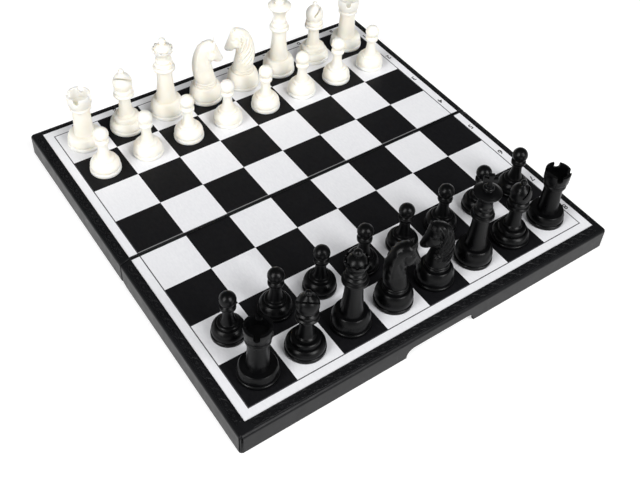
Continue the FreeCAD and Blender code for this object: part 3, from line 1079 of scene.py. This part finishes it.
# The mane hangs down one side and only edges the other. For each: where it starts along the crest, how far it
# reaches from the crest, how much less it reaches at the head, the waves of its edge and its grooves.
HANGING_MANE = {"start": 2.0, "reach": 14.5, "less": 4.0, "wave": 0.9, "groove": 0.6}
EDGING_MANE = {"start": 6.0, "reach": 4.0, "less": 2.0, "wave": 0.0, "groove": 0.15}
MANE_RISE = 0.6
MANE_EDGE = 0.8
MANE_LOW_FADE = 4.0
MANE_HIGH_FADE = 3.0
LOCK_LENGTH = 5.2
STRAND_WIDTH = 3.5
STRAND_SLANT = 0.575

# Ridges and grooves of the head as (points, rise, width), and the middles of its round features
HEAD_LINES = {
    "brow": ([(5.6, 51.4), (8.4, 51.6), (10.6, 50.0)], 0.65, 0.8),
    "nose": ([(10.4, 48.0), (13.2, 42.6)], 0.4, 1.0),
    "jaw": ([(2.2, 49.0), (1.5, 45.0), (2.2, 41.0), (5.2, 38.6)], -0.7, 0.75),
    "mouth": ([(15.0, 38.2), (12.4, 38.8), (10.0, 38.4)], -0.65, 0.45),
    "neck": ([(-1.6, 42.0), (0.2, 36.0), (3.6, 29.0)], -0.4, 1.1),
}
EYE = (8.2, 49.3)
CHEEK = (6.4, 43.6)
NOSTRIL = (13.4, 40.4)

# Ears: radius at shares of the way from root to tip
EAR_RINGS = ((0.0, 1.7), (0.3, 1.85), (0.6, 1.5), (0.85, 0.8), (1.0, 0.2))
EAR_STEPS = 16


def smooth_step(low, high, value):
    """From 0 to 1 as a value goes from low to high, eased at both ends."""
    t = min(1.0, max(0.0, (value - low) / (high - low)))
    return t * t * (3 - 2 * t)


def spaced(points, step):
    """A line's points with more between them, about a step apart."""
    result = []
    for (ax, az), (bx, bz) in zip(points, points[1:]):
        count = max(1, round(math.hypot(bx - ax, bz - az) / step))
        for i in range(count):
            result.append((ax + (bx - ax) * i / count, az + (bz - az) * i / count))
    return result + [points[-1]]


def nearest(point, line):
    """Distance from a point to a line of points, and how far along the line that is."""
    px, pz = point
    best, best_along, along = math.inf, 0.0, 0.0
    for (ax, az), (bx, bz) in zip(line, line[1:]):
        dx, dz = bx - ax, bz - az
        length = math.hypot(dx, dz)
        t = min(1.0, max(0.0, ((px - ax) * dx + (pz - az) * dz) / (length * length)))
        distance = math.hypot(px - ax - t * dx, pz - az - t * dz)
        if distance < best:
            best, best_along = distance, along + t * length
        along += length
    return best, best_along


def inside(point, loop):
    """Whether a point lies in a closed loop of points."""
    px, pz = point
    odd = False
    for (ax, az), (bx, bz) in zip(loop, loop[1:] + loop[:1]):
        if (az > pz) != (bz > pz) and px < ax + (pz - az) * (bx - ax) / (bz - az):
            odd = not odd
    return odd


def bump(distance, width):
    """A soft swelling: 1 at no distance, fading over a width."""
    return math.exp(-(distance / width) ** 2)


def mane_relief(point, crest, crest_length, mane):
    """How far a mane stands out at a point of one side."""
    from_crest, along = nearest(point, crest)
    start = mane["start"]
    ends = smooth_step(start, start + MANE_LOW_FADE, along)
    ends *= smooth_step(0.0, MANE_HIGH_FADE, crest_length - along)
    reach = mane["reach"] - mane["less"] * smooth_step(0.4, 0.9, along / crest_length)
    reach += mane["wave"] * math.sin(math.tau * along / LOCK_LENGTH)
    cover = ends * (1 - smooth_step(reach - MANE_EDGE, reach, from_crest))
    strand = math.cos(math.tau * (from_crest + STRAND_SLANT * along) / STRAND_WIDTH)
    return cover * (MANE_RISE + mane["groove"] * strand)


def knight_thickness(point, edge, crest, crest_length, mane):
    """Half the head's thickness at a point of one side, given its distance from the outline."""
    x, z = point
    foot = 1 - smooth_step(KNIGHT_FOOT, NECK_START, z)
    face = smooth_step(*FACE_ACROSS, x) * smooth_step(*FACE_UP, z)
    half = HEAD_HALF + 2.6 * foot - 2.4 * face * smooth_step(*MUZZLE_ACROSS, x)
    rounding = HEAD_ROUNDING + 1.6 * foot - 2.4 * face
    fall = 1 - min(edge / rounding, 1.0)
    thickness = half * math.sqrt(1 - fall * fall)

    detail = mane_relief(point, crest, crest_length, mane)
    for line, rise, width in HEAD_LINES.values():
        detail += rise * bump(nearest(point, line)[0], width)
    eye = math.hypot((x - EYE[0]) * 0.85, z - EYE[1])
    detail += 0.6 * bump(eye, 0.95) - 0.45 * bump(eye - 1.75, 0.5)
    cheek = math.hypot(x - CHEEK[0], z - CHEEK[1])
    detail += 0.95 * smooth_step(0.0, 1.0, 1.25 - cheek / 4.6)
    nostril = math.hypot(x - NOSTRIL[0], z - NOSTRIL[1])
    detail += 0.3 * bump(nostril - 1.4, 0.45) - 0.9 * bump(nostril, 0.75)
    return max(THINNEST, thickness + detail * smooth_step(0.2, 2.2, edge))


def knight_head(top):
    """The horse's head as a closed form, looking along +X."""
    outline = spaced(profile_line(KNIGHT_OUTLINE), GRID_STEP)
    crest = profile_line(KNIGHT_OUTLINE[:CREST_ENTRIES])
    crest_length = nearest(crest[-1], crest)[1]
    foot = spaced([outline[-1], outline[0]], GRID_STEP)[1:-1]
    loop = outline + foot
    inner = []
    for before, (x, z), after in zip(outline, outline[1:], outline[2:]):
        dx, dz = after[0] - before[0], after[1] - before[1]
        length = math.hypot(dx, dz)
        for depth in RIM_DEPTHS:
            point = (x + depth * dz / length, z - depth * dx / length)
            if inside(point, loop) and nearest(point, outline)[0] > 0.9 * depth:
                inner.append(point)
    columns = int(GRID_WIDTH / GRID_STEP)
    rows = int((top - KNIGHT_FOOT) / GRID_STEP)
    for i in range(columns):
        for j in range(rows):
            x = GRID_START + (i + 0.5 * (j % 2)) * GRID_STEP
            point = (x, KNIGHT_FOOT + (j + 0.5) * GRID_STEP)
            if inside(point, loop) and nearest(point, outline)[0] > GRID_CLEARANCE:
                inner.append(point)
    points = [Vector(p) for p in loop + inner]
    edges = [(i, (i + 1) % len(loop)) for i in range(len(loop))]
    flat, _, faces, sources, _, _ = delaunay_2d_cdt(points, edges, [], 1, SAME_PLACE)
    bm = bmesh.new()
    left, right = [], []
    for place, source in zip(flat, sources):
        x, z = place
        if source and source[0] < len(outline):
            left.append(bm.verts.new((x, 0, z)))
            right.append(left[-1])
            continue
        edge = nearest((x, z), outline)[0]
        for verts, sign, mane in ((left, 1, HANGING_MANE), (right, -1, EDGING_MANE)):
            half = knight_thickness((x, z), edge, crest, crest_length, mane)
            verts.append(bm.verts.new((x, sign * half, z)))
    for face in faces:
        bm.faces.new([left[i] for i in face])
        bm.faces.new([right[i] for i in reversed(face)])
    rim = [e for e in bm.edges if len(e.link_faces) == 1]
    bmesh.ops.contextual_create(bm, geom=rim)
    bmesh.ops.recalc_face_normals(bm, faces=bm.faces)
    return bm


def knight_ear(side, top):
    """One pricked ear, leaning forwards, hollowed in front."""
    root, tip = Vector((6.3, side * 2.3, 51.5)), Vector((9.2, side * 2.7, top - 0.1))
    bm = bmesh.new()
    rings = []
    for share, radius in EAR_RINGS:
        ring = []
        for i in range(EAR_STEPS):
            angle = math.tau * i / EAR_STEPS
            hollow = 1 - 0.45 * bump(math.sin(angle / 2), 0.35)
            ahead = radius * math.cos(angle) * hollow
            across = 0.8 * radius * math.sin(angle)
            ring.append(bm.verts.new(root.lerp(tip, share) + Vector((ahead, across, -0.4 * ahead))))
        rings.append(ring)
    skin(bm, rings)
    bmesh.ops.recalc_face_normals(bm, faces=bm.faces)
    return bm


def knight_form():
    """A ringed foot and a horse's head."""
    top = size_of("black_left_knight").z
    stem = [
        (9.0, TALL_LEDGE),
        (9.2, 15.5),
        (9.2, 16.6),
        (8.6, 17.0),
        (9.0, 17.5),
        (9.0, 18.6),
        (8.3, 19.2),
        (0, 19.2),
    ]
    bm = lathe(officer_base(TALL_INSET, TALL_LEDGE) + stem)
    return combine(bm, [knight_head(top), knight_ear(-1, top), knight_ear(1, top)], "UNION")


def magnet_disc(radius):
    """A disc magnet with broken edges, in its pocket."""
    low, high, edge = MAGNET_RECESS, MAGNET_RECESS + MAGNET_THICKNESS, MAGNET_EDGE
    return lathe([
        (0, high),
        (radius - edge, high),
        (radius, high - edge),
        (radius, low + edge),
        (radius - edge, low),
        (0, low),
    ])


def mesh_in_metres(name, bm):
    """A mesh from a form drawn in millimetres."""
    mesh = finish_mesh(name, bm)
    mesh.transform(Matrix.Scale(MM, 4))
    return mesh


make_camera()
make_light()
make_floor()

case_finish = case_plastic()
# Only the far sheet gets the band of painted highlight at the fold, where its edge faces the camera
repaint("far_printed_sheet", printed_sheet("far_print", parity=0, fold_band=FOLD_EDGE_BAND))
repaint("near_printed_sheet", printed_sheet("near_print", parity=1, fold_band=0.0))
plate_finish = plain_steel("plate_steel", colour=(0.5, 0.51, 0.52), roughness=0.35)
pin_finish = plain_steel("pin_steel", colour=(0.6, 0.6, 0.6), roughness=0.28)
for side in ("far", "near"):
    repaint(f"{side}_steel_plate", plate_finish)
for side in ("left", "right"):
    repaint(f"{side}_hinge_pin", pin_finish)
for side, facing in (("far", 1), ("near", -1)):
    softened_case(side, facing, f"{side}_half", case_finish)
    frame_ornament(side, f"{side}_half", facing, case_finish)

ink = print_ink()
column = HALF_GRID + BORDER / 2
row_centres = [SHEET_START + (i + 0.5) * SQUARE for i in range(ROWS_PER_HALF)]
far_marks = [(str(ROWS_PER_HALF - i), column, y) for i, y in enumerate(row_centres)]
near_marks = [(str(ROWS_PER_HALF + 1 + i), column, -y) for i, y in enumerate(row_centres)]
first_file = ROWS_PER_HALF - 0.5
far_marks += [(c, (first_file - i) * SQUARE, SHEET_END - BORDER / 2) for i, c in enumerate("abcdefgh")]
rank_and_file_marks("far", "far_half", far_marks, ink)
rank_and_file_marks("near", "near_half", near_marks, ink)

magnet_finish = ferrite()
for name in nodes:
    if name.endswith("_magnet"):
        repaint(name, magnet_finish)
finishes = {"white": ivory_plastic(), "black": black_plastic()}
makers = {
    "pawn": pawn_form,
    "rook": rook_form,
    "bishop": bishop_form,
    "queen": queen_form,
    "knight": knight_form,
    "king": king_form,
}
forms = {}
for kind, make in makers.items():
    form = mesh_in_metres(kind, make())
    for colour, finish in finishes.items():
        forms[colour, kind] = form.copy()
        forms[colour, kind].materials.append(finish)
disc = mesh_in_metres("magnet_disc", magnet_disc(PAWN_MAGNET_RADIUS))
disc.materials.append(magnet_finish)

for name in frame["record"]["behaviour"]["bodies"]:
    words = name.split("_")
    if words[0] not in finishes:
        continue
    colour = words[0]
    kind = next(w for w in words if w in makers)
    low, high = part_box(name if kind == "pawn" else f"{name}_magnet")
    place = ((low.x + high.x) / 2, (low.y + high.y) / 2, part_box(name)[0].z)
    man = new_object(f"{name}_man", forms[colour, kind])
    man.location = place
    man.rotation_euler.z = math.radians(FACING.get(name.removeprefix(f"{colour}_"), 0))
    place_piece(man, name, f"{colour}_plastic", name)
    if kind == "pawn":
        magnet = new_object(f"{name}_disc_magnet", disc)
        magnet.location = place
        place_piece(magnet, name, "magnet")

scene.view_settings.view_transform = "Standard"
